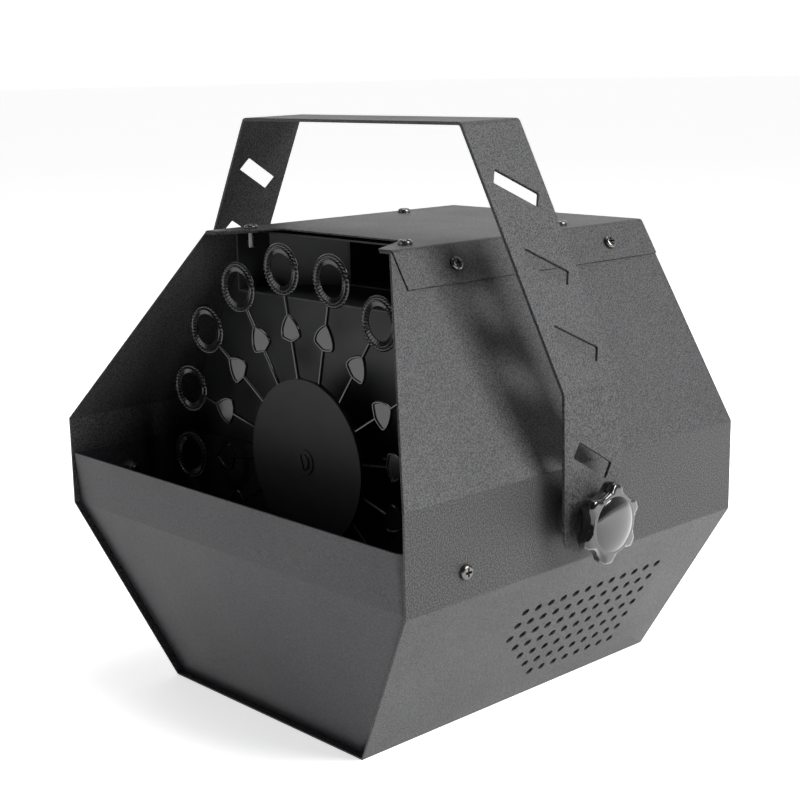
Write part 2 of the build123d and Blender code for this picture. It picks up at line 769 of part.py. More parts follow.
# ---------------------------------------------------------------- handle, pivots and knobs
def handle_bracket():
    """Bent strip that straddles the case, with slanted slots down both legs."""
    corners = [
        (handle_outer_half, -handle_foot), (handle_outer_half, handle_bend_rise),
        (handle_top_half, handle_rise), (-handle_top_half, handle_rise),
        (-handle_outer_half, handle_bend_rise), (-handle_outer_half, -handle_foot),
    ]
    outer = make_face(Polyline(*corners, close=True))
    inner = offset(outer, -handle_wall, kind=Kind.INTERSECTION)
    outer = fillet(outer.vertices().group_by(Axis.Y)[1] + outer.vertices().group_by(Axis.Y)[2], handle_bend_radius)
    inner = fillet(inner.vertices().group_by(Axis.Y)[1] + inner.vertices().group_by(Axis.Y)[2],
                   handle_bend_radius - handle_wall)
    strip = prism_y(outer, -handle_strip / 2, handle_strip / 2) - prism_y(inner, -handle_strip, handle_strip)
    strip -= block((-handle_inner_half, handle_inner_half), (-handle_strip, handle_strip),
                   (-handle_foot - 5, -handle_foot + handle_wall + 1))
    feet = strip.edges().filter_by(Axis.X).group_by(Axis.Z)[0]
    strip = fillet(feet, handle_foot_corner)
    strip -= [cut for slot in leg_slots() for cut in both_sides(slot)]
    strip -= rod(stud_radius + stud_gap, (-case_width, 0, 0), (1, 0, 0), case_width * 2)
    return Pos(0, pivot_y, pivot_z) * Rot(handle_lean, 0, 0) * strip


def leg_slots():
    """Cutters for the right leg's slots, with the pivot at the origin."""
    run = handle_outer_half - handle_top_half
    rise = handle_rise - handle_bend_rise
    length = hypot(run, rise)
    cutter = Box(slot_length, slot_width, handle_wall * 6)
    cutter = Rot(0, 0, slot_tilt) * fillet(cutter.edges().filter_by(Axis.Z), slot_corner)
    cuts = []
    for station in slot_stations:
        along = station / length
        spot = (handle_top_half + run * along, 0, handle_rise - rise * along)
        cuts.append(Plane(origin=spot, x_dir=(0, 1, 0), z_dir=(rise, 0, run)) * cutter)
    low_spot = (handle_outer_half, 0, handle_bend_rise - low_slot_drop)
    cuts.append(Plane(origin=low_spot, x_dir=(0, 1, 0), z_dir=(1, 0, 0)) * cutter)
    return cuts


def handle_spacer():
    """Rubber ring that keeps the right leg off the case."""
    start = mid_half
    length = handle_stand_off - body_gap
    ring = rod(spacer_radius, (start, pivot_y, pivot_z), (1, 0, 0), length)
    ring -= rod(spacer_bore, (start - 1, pivot_y, pivot_z), (1, 0, 0), length + 2)
    return ring


def rivet_nut():
    """Threaded insert pressed into the right wall, which takes the knob's stud."""
    nut = rod(rivet_nut_flange_radius, (mid_half, pivot_y, pivot_z), (1, 0, 0), rivet_nut_flange)
    nut += rod(rivet_nut_radius, (mid_half, pivot_y, pivot_z), (-1, 0, 0), rivet_nut_length)
    bore = rod(stud_radius + stud_gap, (mid_half - case_width / 4, pivot_y, pivot_z), (1, 0, 0), case_width)
    return nut - bore


def handle_washer():
    start = handle_outer_half
    ring = rod(washer_radius, (start, pivot_y, pivot_z), (1, 0, 0), washer_wall)
    return ring - rod(stud_radius + stud_gap, (start - 1, pivot_y, pivot_z), (1, 0, 0), washer_wall + 2)


def knob_stud():
    """Threaded stud from inside the knob, through the bracket, into the insert."""
    inner_end = mid_half - rivet_nut_length + 1
    outer_end = knob_seat + knob_bore_depth - body_gap
    return rod(stud_radius, (inner_end, pivot_y, pivot_z), (1, 0, 0), outer_end - inner_end)


def knob():
    """Six-lobed hand knob with a domed face."""
    rim_low = knob_boss
    rim_high = knob_boss + knob_rim
    disc = Pos(0, 0, rim_low) * Cylinder(knob_radius, knob_rim, align=BOTTOM)
    distance = knob_root + knob_scallop
    cutter = Pos(distance, 0, 0) * Cylinder(knob_scallop, 60)
    disc -= [Rot(0, 0, 360 / knob_lobes * (i + 0.5)) * cutter for i in range(knob_lobes)]
    disc = fillet(disc.edges().filter_by(Axis.Z), 1.6)
    disc = fillet(disc.faces().sort_by(Axis.Z)[-1].edges(), 1.4)
    boss = Cylinder(knob_boss_radius, rim_low + 1, align=BOTTOM)
    dome_sphere = (knob_dome_radius ** 2 + knob_dome ** 2) / (2 * knob_dome)
    dome = Pos(0, 0, rim_high + knob_dome - dome_sphere) * Sphere(dome_sphere)
    dome &= Pos(0, 0, rim_high - 0.5) * Cylinder(knob_dome_radius, 20, align=BOTTOM)
    body = disc + boss + dome
    body -= Cylinder(stud_radius + stud_gap, knob_bore_depth * 2)
    turned = Rot(0, 0, knob_phase) * body
    return Plane(origin=(knob_seat, pivot_y, pivot_z), x_dir=(0, 1, 0), z_dir=(1, 0, 0)) * turned


# ---------------------------------------------------------------- power entry, switch and wiring
def power_entry():
    """Panel socket for a mains connector, with a pocket below it for the fuse drawer."""
    flange_rear = half_depth + entry_flange_wall
    body = block((entry_x - entry_flange_x / 2, entry_x + entry_flange_x / 2), (half_depth, flange_rear),
                 (entry_z - entry_flange_z / 2, entry_z + entry_flange_z / 2))
    body += block((entry_x - entry_body_x / 2, entry_x + entry_body_x / 2), (flange_rear - entry_depth, half_depth),
                  (entry_z - entry_body_z / 2, entry_z + entry_body_z / 2))
    socket_z = entry_z + entry_socket_z_shift
    body -= block((entry_x - entry_socket_x / 2, entry_x + entry_socket_x / 2),
                  (flange_rear - entry_socket_depth, flange_rear + 1),
                  (socket_z - entry_socket_z / 2, socket_z + entry_socket_z / 2))
    pocket_z = entry_z + drawer_z_shift
    pocket_x = drawer_x / 2 + body_gap
    pocket_half = drawer_z / 2 + body_gap
    return body - block((entry_x - pocket_x, entry_x + pocket_x),
                        (flange_rear - drawer_depth - body_gap, flange_rear + 1),
                        (pocket_z - pocket_half, pocket_z + pocket_half))


def entry_pins():
    """Three flat blades inside the socket, the middle one higher."""
    floor_y = half_depth + entry_flange_wall - entry_socket_depth
    socket_z = entry_z + entry_socket_z_shift
    blade = block((-pin_width / 2, pin_width / 2), (floor_y, floor_y + pin_length), (-pin_height / 2, pin_height / 2))
    return [Pos(entry_x + dx * pin_spacing, 0, socket_z + dz) * blade for dx, dz in ((-1, 0), (0, 3), (1, 0))]


def fuse_drawer():
    """Small tray that slides out below the socket and holds the fuse."""
    face_y = half_depth + entry_flange_wall
    pocket_z = entry_z + drawer_z_shift
    tray = block((entry_x - drawer_x / 2, entry_x + drawer_x / 2), (face_y - drawer_depth, face_y),
                 (pocket_z - drawer_z / 2, pocket_z + drawer_z / 2))
    cradle_half = fuse_length / 2 + 0.1
    middle_y = face_y - drawer_depth / 2
    tray -= rod(fuse_radius, (entry_x - cradle_half, middle_y, pocket_z), (1, 0, 0), 2 * cradle_half)
    tray -= block((entry_x - cradle_half, entry_x + cradle_half),
                  (middle_y - fuse_radius, middle_y + fuse_radius), (pocket_z, pocket_z + drawer_z))
    nick = rod(1.0, (entry_x - 4, face_y, pocket_z), (1, 0, 0), 8)
    return tray - nick


def fuse():
    middle_y = half_depth + entry_flange_wall - drawer_depth / 2
    return rod(fuse_radius, (entry_x - fuse_length / 2, middle_y, entry_z + drawer_z_shift), (1, 0, 0), fuse_length)


def switch_body():
    """Bezel and case of the rocker switch."""
    face_y = half_depth + switch_bezel_wall
    body = block((switch_x - switch_bezel_x / 2, switch_x + switch_bezel_x / 2), (half_depth, face_y),
                 (switch_z - switch_bezel_z / 2, switch_z + switch_bezel_z / 2))
    body += block((switch_x - switch_body_x / 2, switch_x + switch_body_x / 2), (face_y - switch_depth, half_depth),
                  (switch_z - switch_body_z / 2, switch_z + switch_body_z / 2))
    half_x = rocker_x / 2 + body_gap
    well = rod(rocker_radius + body_gap, (switch_x - half_x, half_depth, switch_z), (1, 0, 0), 2 * half_x)
    well &= block((switch_x - half_x, switch_x + half_x), (half_depth - 4, face_y + 20),
                  (switch_z - rocker_z / 2 - 1.2, switch_z + rocker_z / 2 + 1.2))
    pocket = block((switch_x - half_x, switch_x + half_x), (half_depth - 4, face_y + 5),
                   (switch_z - rocker_z / 2 - 1.2, switch_z + rocker_z / 2 + 1.2))
    pin_half = half_x + rocker_pin_reach
    pin_bore = rod(rocker_pin_radius + running_gap, (switch_x - pin_half, half_depth + rocker_axis_step, switch_z),
                   (1, 0, 0), 2 * pin_half)
    return body - pocket - well - pin_bore


def switch_rocker():
    """Rocker that tilts on two round pins just inside the bezel, at rest with its upper end pressed in."""
    half_x = rocker_x / 2
    half_z = rocker_z / 2
    dish = [(-2.4, -half_z), (3.0, -half_z), (1.6, 0), (3.0, half_z), (-2.4, half_z)]
    face = make_face(Polyline(*dish, close=True))
    rocker = prism_x(face, -half_x, half_x)
    pin_half = half_x + rocker_pin_reach
    rocker += rod(rocker_pin_radius, (-pin_half, 0, 0), (1, 0, 0), 2 * pin_half)
    return Pos(switch_x, half_depth + rocker_axis_step, switch_z) * Rot(rocker_tilt, 0, 0) * rocker


def terminal_block():
    """Moulded connector strip screwed to the base, with one bore for each pair of wires."""
    body = block((block_x - block_length / 2, block_x + block_length / 2),
                 (block_y - block_width / 2, block_y + block_width / 2), (shell_wall, shell_wall + block_height))
    pitch = block_length / block_ways
    for way in range(block_ways):
        x = block_x + (way - (block_ways - 1) / 2) * pitch
        body -= rod(2.4, (x, block_y - block_width, shell_wall + block_height * 0.45), (0, 1, 0), block_width * 2)
    return body


def bend_radii(points):
    """The largest radii that the runs of a route leave room for, one for each corner."""
    radii = []
    for before, corner, after in zip(points, points[1:], points[2:]):
        run_in = Vector(*corner) - Vector(*before)
        run_out = Vector(*after) - Vector(*corner)
        half_turn = radians(run_in.get_angle(run_out)) / 2
        radii.append(0.45 * min(run_in.length, run_out.length) / tan(half_turn))
    return radii


def lead(points):
    """Two-core lead along straight runs joined by arcs."""
    route = FilletPolyline(*points, radius=bend_radii(points))
    section = Plane(origin=route @ 0, z_dir=route % 0) * Circle(lead_radius)
    return sweep(section, path=route)


def leads():
    """Inside leads, each from one piece's rear or side to the connector strip."""
    entry_rear_y = half_depth + entry_flange_wall - entry_depth
    switch_rear_y = half_depth + switch_bezel_wall - switch_depth
    strip_front_y = block_y - block_width / 2
    strip_rear_y = block_y + block_width / 2
    strip_z = shell_wall + block_height * 0.45
    pitch = block_length / block_ways
    motor_under_z = blower_z - blower_motor_radius
    motor_x = -blower_half - bracket_wall - blower_motor_length / 2
    bracket_front_y = blower_y - bracket_half
    gear_rear_y = motor_front_y + gearbox_depth + motor_can_depth
    return {
        "entry_lead": lead([
            (entry_x, entry_rear_y, entry_z - 6), (entry_x, entry_rear_y - 10, entry_z - 6),
            (entry_x + 14, entry_rear_y - 4, entry_z - 26), (entry_x + 40, strip_rear_y + 5, strip_z + 8),
            (block_x - pitch, strip_rear_y + 12, strip_z), (block_x - pitch, strip_rear_y, strip_z),
        ]),
        "switch_lead": lead([
            (switch_x, switch_rear_y, switch_z), (switch_x, switch_rear_y - 14, switch_z),
            (entry_x, entry_rear_y - 12, entry_z + 10), (entry_x, entry_rear_y, entry_z + 10),
        ]),
        "blower_lead": lead([
            (motor_x, blower_y, motor_under_z), (motor_x, blower_y, motor_under_z - 50),
            (motor_x, bracket_front_y - 12, motor_under_z - 88), (motor_x + 46, bracket_front_y - 16, strip_z + 18),
            (block_x, bracket_front_y + 18, strip_z), (block_x, strip_front_y, strip_z),
        ]),
        "gear_motor_lead": lead([
            (0, gear_rear_y, wheel_z - 15), (0, gear_rear_y + 12, wheel_z - 15), (20, gear_rear_y + 24, 84),
            (30, gear_rear_y + 34, 42), (block_x + pitch, block_y - 34, strip_z),
            (block_x + pitch, strip_front_y, strip_z),
        ]),
    }


def earth_stud():
    """Protective-earth stud on the base, with its nut."""
    stud = rod(earth_radius, (earth_x, earth_y, 0), (0, 0, 1), earth_height)
    nut = Pos(earth_x, earth_y, shell_wall) * hex_nut(tank_nut_across, tank_nut_height, 2 * earth_radius)
    return [stud, nut]


# ---------------------------------------------------------------- write every node
write("body_shell", body_shell())
write("rear_panel", rear_panel())
write("top_cover", top_cover())
write("partition_panel", partition_panel())
write("fluid_tank", fluid_tank())

write("top_cover_screws", *[Pos(x, y, case_height) * m4_screw(10) for x, y in top_screw_spots])
flange_screws = []
for spot in flange_screw_spots:
    flange_screws += both_sides(Plane(origin=spot, z_dir=upper_normal) * m4_screw(7))
write("side_flange_screws", *flange_screws)
write("rear_panel_screws",
      *[Plane(origin=(x, half_depth, z), z_dir=(0, 1, 0)) * m3_screw(7) for x, z in panel_screw_spots])
tank_screw = Plane(origin=(mid_half, tank_screw_y, tank_screw_z), z_dir=(1, 0, 0)) * m4_screw(9)
write("tank_screws", *both_sides(tank_screw))
tank_inside = half_width(tank_screw_z, shell_wall + tank_side_gap + tank_wall)
tank_nut = Plane(origin=(tank_inside, tank_screw_y, tank_screw_z), z_dir=(-1, 0, 0))
write("tank_nuts", *both_sides(tank_nut * hex_nut(tank_nut_across, tank_nut_height, m4_shank)))

write("wand_wheel", wand_wheel())
write("wheel_disc", wheel_disc())
write("wheel_hub_screw", hub_screw())
write("drive_shaft", drive_shaft())
write("gearbox", gearbox())
write("gear_motor_can", gear_motor_can())
write("gear_motor_screws",
      *[Plane(origin=(x, partition_y, z), z_dir=(0, -1, 0)) * m4_screw(6) for x, z in ear_spots])

write("air_duct", air_duct())
write("blower_housing", blower_housing())
write("blower_inlet_plate", blower_inlet_plate())
write("blower_impeller", impeller())
write("blower_motor", blower_motor())
write("blower_shaft", blower_shaft())
write("blower_bracket", blower_bracket())
blower_screw_x = -blower_half + blower_wall
write("blower_screws",
      *[Plane(origin=(blower_screw_x, y, z), z_dir=(1, 0, 0)) * m4_screw(8) for y, z in blower_screw_spots])
write("blower_foot_screws",
      *[Pos(x, y, shell_wall + bracket_wall) * m4_screw(shell_wall + bracket_wall) for x, y in foot_screw_spots])

write("handle_bracket", handle_bracket())
write("handle_spacers", *both_sides(handle_spacer()))
write("handle_rivet_nuts", *both_sides(rivet_nut()))
write("handle_washers", *both_sides(handle_washer()))
right_stud, left_stud = both_sides(knob_stud())
write("right_knob_stud", right_stud)
write("left_knob_stud", left_stud)
right_knob, left_knob = both_sides(knob())
write("right_knob", right_knob)
write("left_knob", left_knob)

write("power_entry", power_entry())
write("power_entry_pins", *entry_pins())
write("fuse_drawer", fuse_drawer())
write("fuse", fuse())
write("switch_body", switch_body())
write("switch_rocker", switch_rocker())
write("terminal_block", terminal_block())
write("earth_stud", *earth_stud())
for lead_name, lead_solid in leads().items():
    write(lead_name, lead_solid)
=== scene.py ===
import json
import math

import bmesh
import bpy
from mathutils import Matrix, Vector


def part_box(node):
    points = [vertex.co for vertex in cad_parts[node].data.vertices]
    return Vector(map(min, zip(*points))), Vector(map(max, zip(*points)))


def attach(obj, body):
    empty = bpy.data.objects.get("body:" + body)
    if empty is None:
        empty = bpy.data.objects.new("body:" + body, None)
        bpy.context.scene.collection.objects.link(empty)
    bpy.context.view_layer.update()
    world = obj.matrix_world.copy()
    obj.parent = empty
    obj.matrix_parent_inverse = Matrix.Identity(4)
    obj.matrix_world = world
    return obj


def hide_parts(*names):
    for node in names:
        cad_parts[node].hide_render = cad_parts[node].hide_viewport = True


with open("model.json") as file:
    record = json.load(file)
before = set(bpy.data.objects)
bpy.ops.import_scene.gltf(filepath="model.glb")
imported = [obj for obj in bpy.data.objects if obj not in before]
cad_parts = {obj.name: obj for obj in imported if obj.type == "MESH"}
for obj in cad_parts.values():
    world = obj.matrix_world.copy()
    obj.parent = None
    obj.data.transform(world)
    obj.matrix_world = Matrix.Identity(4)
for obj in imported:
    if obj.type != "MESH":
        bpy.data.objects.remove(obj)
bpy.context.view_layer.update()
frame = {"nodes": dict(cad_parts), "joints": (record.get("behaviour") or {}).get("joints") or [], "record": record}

MM = 0.001
TURN = 2 * math.pi

# ---- View: where the camera stands about the machine ----
CAMERA_AZIMUTH = math.radians(46.926)
CAMERA_ELEVATION = math.radians(12.297)
CAMERA_ROLL = math.radians(-1.007)
CAMERA_DISTANCE = 0.82283
CAMERA_TARGET = Vector((0.005437, 0.0, 0.152918))
CAMERA_LENS = 68.66
CAMERA_SENSOR = 36.0

# ---- Surroundings: brightness from the far side (0) round to the camera's side (1) ----
DARK_SIDE = (0.70, -0.70, 0.12)
WORLD_TONES = ((0.10, (1.0, 1.0, 1.0)), (0.45, (0.30, 0.30, 0.30)), (0.70, (0.05, 0.05, 0.05)))
FLOOR_GLOW = 0.62
FLOOR_REACH = 30.0

# ---- Wand wheel, in millimetres about its axle ----
WANDS = 16
WAND_PHASE = 7.5
RING_CIRCLE = 100.0
RING_TEETH = 36
STEPS_A_TOOTH = 4
FLANGE_RADIUS = 13.75
WAND_LEAN = math.radians(3.0)
LEAN_RADIUS = 43.3
# One side of the ring's section, from the bore out to the flange's edge: radius, height, and how far
# a tooth moves each of them.
RING_SECTION = (
    (8.55, 0.00, 0.00, 0.00),
    (8.60, 0.15, 0.00, 0.30),
    (9.50, 0.25, 0.00, 0.65),
    (10.7, 0.45, 0.00, 0.80),
    (10.95, 0.75, 0.00, 0.30),
    (11.15, 1.35, 0.00, 0.00),
    (11.45, 1.45, 0.00, 0.00),
    (11.75, 1.20, 0.00, 0.00),
    (11.95, 0.55, 0.00, 0.30),
    (12.25, 0.45, 0.00, 1.00),
    (12.75, 0.45, 0.00, 1.10),
    (13.15, 0.40, 0.00, 0.70),
    (13.35, 0.35, 0.00, 0.10),
    (13.65, 0.30, 0.00, 0.00),
    (13.75, 0.12, 0.00, 0.00),
)
BAR_HALF_WIDTH = 0.78
BAR_HALF_DEPTH = 0.95
BAR_SIDES = 8
# Makes up for the flats of a many-sided bar, so that it is as wide as its round one.
BAR_FLATS = 1.08
LEAF_BASE = 63.0
LEAF_TIP = 76.8
LEAF_SHOULDER = 2.8
LEAF_HALF_WIDTH = 6.9
LEAF_RIM_RADIUS = 0.7
LEAF_FILM = 0.3
LEAF_FILM_INSET = 0.2
LEAF_SIDE_STEPS = 8
LEAF_END_STEPS = 4
HUB_PLATE_RADIUS = 43.8
HUB_PLATE_HALF = 1.05
HUB_PLATE_BORE = 4.0
SLEEVE_BORE = 3.6
SLEEVE_RADIUS = 6.5
SLEEVE_SIDES = 32
SPOKE_ROOT_LAP = 4
SPOKE_MIDDLE = 54.0
STEM_MIDDLE = 83.5
STEM_LAP = 0.5
WHEEL_CREASE = math.radians(50)

# ---- Hand knob, in millimetres along its own axis ----
KNOB_LOBES = 6
KNOB_TIP = 19.8
KNOB_SCALLOP = 12.0
KNOB_SCALLOP_CENTRE = 27.6
KNOB_PHASE = 20.0
KNOB_STEPS = 144
KNOB_BORE_DEPTH = 9.0
KNOB_CREASE = math.radians(60)
KNOB_SOFTENING = (-3, -2, -1, 0, 1, 2, 3)


# ---------------------------------------------------------------- small helpers
def add_mesh(name, bm, body, material):
    """Turn a bmesh into a piece that rides on a CAD body and takes its finish from a slot."""
    bmesh.ops.recalc_face_normals(bm, faces=bm.faces)
    mesh = bpy.data.meshes.new(name)
    bm.to_mesh(mesh)
    bm.free()
    for polygon in mesh.polygons:
        polygon.use_smooth = True
    piece = bpy.data.objects.new(name, mesh)
    bpy.context.scene.collection.objects.link(piece)
    mesh.materials.append(material)
    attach(piece, body)
    return piece


def bridge(bm, lower, upper, closed=True):
    """Faces between two rows of points."""
    count = len(lower)
    for i in range(count if closed else count - 1):
        j = (i + 1) % count
        bm.faces.new((lower[i], lower[j], upper[j], upper[i]))


# ---------------------------------------------------------------- materials
def principled(name):
    """A new material, its shader and its nodes."""
    material = bpy.data.materials.new(name)
    material.use_nodes = True
    nodes = material.node_tree.nodes
    return material, nodes["Principled BSDF"], nodes, material.node_tree.links


def noise(nodes, links, coords, scale, detail=2.0, roughness=0.5):
    node = nodes.new("ShaderNodeTexNoise")
    node.inputs["Scale"].default_value = scale
    node.inputs["Detail"].default_value = detail
    node.inputs["Roughness"].default_value = roughness
    links.new(coords.outputs["Object"], node.inputs["Vector"])
    return node


def ramp(nodes, links, source, stops):
    """Colour ramp through (position, colour) stops."""
    node = nodes.new("ShaderNodeValToRGB")
    elements = node.color_ramp.elements
    while len(elements) < len(stops):
        elements.new(0.5)
    for element, (position, colour) in zip(elements, stops):
        element.position = position
        element.color = (*colour, 1.0) if len(colour) == 3 else colour
    links.new(source, node.inputs["Fac"])
    return node


def spread(nodes, links, source, low, high):
    """Map a 0 to 1 value onto a range."""
    node = nodes.new("ShaderNodeMapRange")
    node.inputs["To Min"].default_value = low
    node.inputs["To Max"].default_value = high
    links.new(source, node.inputs["Value"])
    return node


def grain(nodes, links, shader, height, strength, distance, edge_radius):
    """Bump from a height, over normals that are rounded at the sheet's edges."""
    bump = nodes.new("ShaderNodeBump")
    bump.inputs["Strength"].default_value = strength
    bump.inputs["Distance"].default_value = distance
    links.new(height, bump.inputs["Height"])
    if edge_radius:
        edges = nodes.new("ShaderNodeBevel")
        edges.samples = 4
        edges.inputs["Radius"].default_value = edge_radius
        links.new(edges.outputs["Normal"], bump.inputs["Normal"])
    links.new(bump.outputs["Normal"], shader.inputs["Normal"])
    return bump


def powder_coat(name, dark, light, grain_size, rough, strength, edge_radius=0.5 * MM):
    """Fine textured powder coat: speckled tone, grainy bump and slow patches of sheen."""
    material, shader, nodes, links = principled(name)
    coords = nodes.new("ShaderNodeTexCoord")
    fine = noise(nodes, links, coords, 1 / grain_size, 2.0, 0.6)
    patches = noise(nodes, links, coords, 28.0, 2.0, 0.5)
    tone = ramp(nodes, links, fine.outputs["Fac"], ((0.38, dark), (0.62, light)))
    links.new(tone.outputs["Color"], shader.inputs["Base Color"])
    sheen = spread(nodes, links, patches.outputs["Fac"], rough - 0.05, rough + 0.07)
    links.new(sheen.outputs["Result"], shader.inputs["Roughness"])
    shader.inputs["Specular IOR Level"].default_value = 0.32
    grain(nodes, links, shader, fine.outputs["Fac"], strength, 0.35 * MM, edge_radius)
    return material


def smooth_paint(name, colour, rough, edge_radius=0.5 * MM):
    """Smooth satin paint with faint orange peel, soft blotches and a little dust."""
    material, shader, nodes, links = principled(name)
    coords = nodes.new("ShaderNodeTexCoord")
    peel = noise(nodes, links, coords, 420.0, 2.0, 0.5)
    blotch = noise(nodes, links, coords, 17.0, 3.0, 0.6)
    lighter = tuple(channel * 1.5 + 0.003 for channel in colour)
    tone = ramp(nodes, links, blotch.outputs["Fac"], ((0.3, colour), (0.75, lighter)))
    links.new(tone.outputs["Color"], shader.inputs["Base Color"])
    sheen = spread(nodes, links, blotch.outputs["Fac"], rough - 0.06, rough + 0.08)
    links.new(sheen.outputs["Result"], shader.inputs["Roughness"])
    grain(nodes, links, shader, peel.outputs["Fac"], 0.25, 0.03 * MM, edge_radius)
    return material


def moulded(name, colour, rough, coat=0.0, edge_radius=0.0, texture=0.02 * MM):
    """Moulded plastic: slight flow marks and fine handling scratches in the roughness."""
    material, shader, nodes, links = principled(name)
    coords = nodes.new("ShaderNodeTexCoord")
    flow = noise(nodes, links, coords, 60.0, 2.0, 0.5)
    scuff = noise(nodes, links, coords, 900.0, 3.0, 0.7)
    lighter = tuple(channel * 1.35 + 0.002 for channel in colour)
    tone = ramp(nodes, links, flow.outputs["Fac"], ((0.35, colour), (0.7, lighter)))
    links.new(tone.outputs["Color"], shader.inputs["Base Color"])
    sheen = spread(nodes, links, scuff.outputs["Fac"], max(rough - 0.05, 0.03), rough + 0.06)
    links.new(sheen.outputs["Result"], shader.inputs["Roughness"])
    shader.inputs["Coat Weight"].default_value = coat
    shader.inputs["Coat Roughness"].default_value = 0.05
    grain(nodes, links, shader, scuff.outputs["Fac"], 0.15, texture, edge_radius)
    return material


def plated(name, colour, rough, streak=(1.0, 1.0, 1.0), edge_radius=0.2 * MM):
    """Plated or turned metal with fine streaks and duller patches."""
    material, shader, nodes, links = principled(name)
    coords = nodes.new("ShaderNodeTexCoord")
    mapping = nodes.new("ShaderNodeMapping")
    mapping.inputs["Scale"].default_value = streak
    links.new(coords.outputs["Object"], mapping.inputs["Vector"])
    lines = nodes.new("ShaderNodeTexNoise")
    lines.inputs["Scale"].default_value = 500.0
    lines.inputs["Detail"].default_value = 4.0
    links.new(mapping.outputs["Vector"], lines.inputs["Vector"])
    dull = noise(nodes, links, coords, 160.0, 2.0, 0.5)
    darker = tuple(channel * 0.6 for channel in colour)
    tone = ramp(nodes, links, dull.outputs["Fac"], ((0.3, darker), (0.65, colour)))
    links.new(tone.outputs["Color"], shader.inputs["Base Color"])
    shader.inputs["Metallic"].default_value = 1.0
    sheen = spread(nodes, links, lines.outputs["Fac"], rough - 0.08, rough + 0.12)
    links.new(sheen.outputs["Result"], shader.inputs["Roughness"])
    grain(nodes, links, shader, lines.outputs["Fac"], 0.2, 0.02 * MM, edge_radius)
    return material


def clear_glass(name):
    """Thin clear tube with faint ripples."""
    material, shader, nodes, links = principled(name)
    coords = nodes.new("ShaderNodeTexCoord")
    ripple = noise(nodes, links, coords, 90.0)
    shader.inputs["Base Color"].default_value = (0.92, 0.95, 0.95, 1.0)
    shader.inputs["Transmission Weight"].default_value = 0.85
    sheen = spread(nodes, links, ripple.outputs["Fac"], 0.03, 0.10)
    links.new(sheen.outputs["Result"], shader.inputs["Roughness"])
    grain(nodes, links, shader, ripple.outputs["Fac"], 0.1, 0.05 * MM, 0.0)
    return material


CASE_DARK = (0.004, 0.004, 0.0045)
CASE_LIGHT = (0.055, 0.055, 0.057)
TANK_DARK = (0.010, 0.010, 0.012)
TANK_LIGHT = (0.030, 0.030, 0.034)
MATERIALS = {
    "case_paint": powder_coat("case_paint", CASE_DARK, CASE_LIGHT, 0.75 * MM, 0.48, 0.8),
    "inner_paint": smooth_paint("inner_paint", (0.006, 0.0065, 0.007), 0.45),
    "tank_paint": powder_coat("tank_paint", TANK_DARK, TANK_LIGHT, 0.9 * MM, 0.40, 0.15),
    "screw_plate": plated("screw_plate", (0.16, 0.155, 0.15), 0.24),
    "zinc_steel": plated("zinc_steel", (0.56, 0.57, 0.60), 0.34, (1.0, 1.0, 0.06)),
    "wand_plastic": moulded("wand_plastic", (0.004, 0.004, 0.0045), 0.20, coat=0.3),
    "disc_plastic": moulded("disc_plastic", (0.0015, 0.0015, 0.0015), 0.62, edge_radius=0.3 * MM),
    "blower_plastic": moulded("blower_plastic", (0.004, 0.004, 0.0045), 0.55, edge_radius=0.4 * MM),
    "knob_plastic": moulded("knob_plastic", (0.003, 0.003, 0.0035), 0.12, coat=0.6),
    "spacer_rubber": moulded("spacer_rubber", (0.008, 0.008, 0.008), 0.75, texture=0.08 * MM),
    "pin_brass": plated("pin_brass", (0.78, 0.60, 0.30), 0.28),
    "fuse_glass": clear_glass("fuse_glass"),
    "block_plastic": moulded("block_plastic", (0.62, 0.60, 0.54), 0.42, edge_radius=0.4 * MM),
    "lead_sheath": moulded("lead_sheath", (0.02, 0.02, 0.022), 0.5, texture=0.05 * MM),
}


def paint_cad_nodes():
    """Give every CAD node the procedural material of its slot."""
    for subpart in frame["record"]["subparts"]:
        node = frame["nodes"][subpart["node"]]
        node.data.materials.clear()
        node.data.materials.append(MATERIALS[subpart["material_slot"]])


# ---------------------------------------------------------------- wand wheel
def tooth(step):
    """Height of a rounded tooth, 0 to 1, at a step round the ring."""
    return 0.5 - 0.5 * math.cos(TURN * step / STEPS_A_TOOTH)


def add_ring(bm, place):
    """Serrated ring: a smooth ridge between inner teeth and outer beads, alike on both sides."""
    steps = RING_TEETH * STEPS_A_TOOTH
    front = list(RING_SECTION)
    back = [(r, -z, dr, -dz) for r, z, dr, dz in reversed(RING_SECTION[1:])]
    rows = []
    for step in range(steps):
        lift = tooth(step)
        angle = TURN * step / steps
        row = []
        for r, z, dr, dz in front + back:
            radius = r + dr * lift
            x = RING_CIRCLE + radius * math.cos(angle)
            y = radius * math.sin(angle)
            row.append(bm.verts.new(place @ Vector((x, y, z + dz * lift))))
        rows.append(row)
    for i in range(steps):
        bridge(bm, rows[i], rows[(i + 1) % steps])


def add_tube(bm, place, path, half_width, half_depth, closed=False):
    """Rounded bar along a path of (x, y) points on the wheel's middle plane."""
    count = len(path)
    rows = []
    for i, (x, y) in enumerate(path):
        before = path[i - 1] if i or closed else path[i]
        after = path[(i + 1) % count] if i < count - 1 or closed else path[i]
        along = Vector((after[0] - before[0], after[1] - before[1], 0)).normalized()
        across = Vector((-along.y, along.x, 0))
        row = []
        for side in range(BAR_SIDES):
            angle = TURN * (side + 0.5) / BAR_SIDES
            offset = across * half_width * math.cos(angle) * BAR_FLATS
            spot = Vector((x, y, half_depth * math.sin(angle) * BAR_FLATS))
            row.append(bm.verts.new(place @ (spot + offset)))
        rows.append(row)
    for i in range(count if closed else count - 1):
        bridge(bm, rows[i], rows[(i + 1) % count])
    if not closed:
        bm.faces.new(list(reversed(rows[0])))
        bm.faces.new(rows[-1])


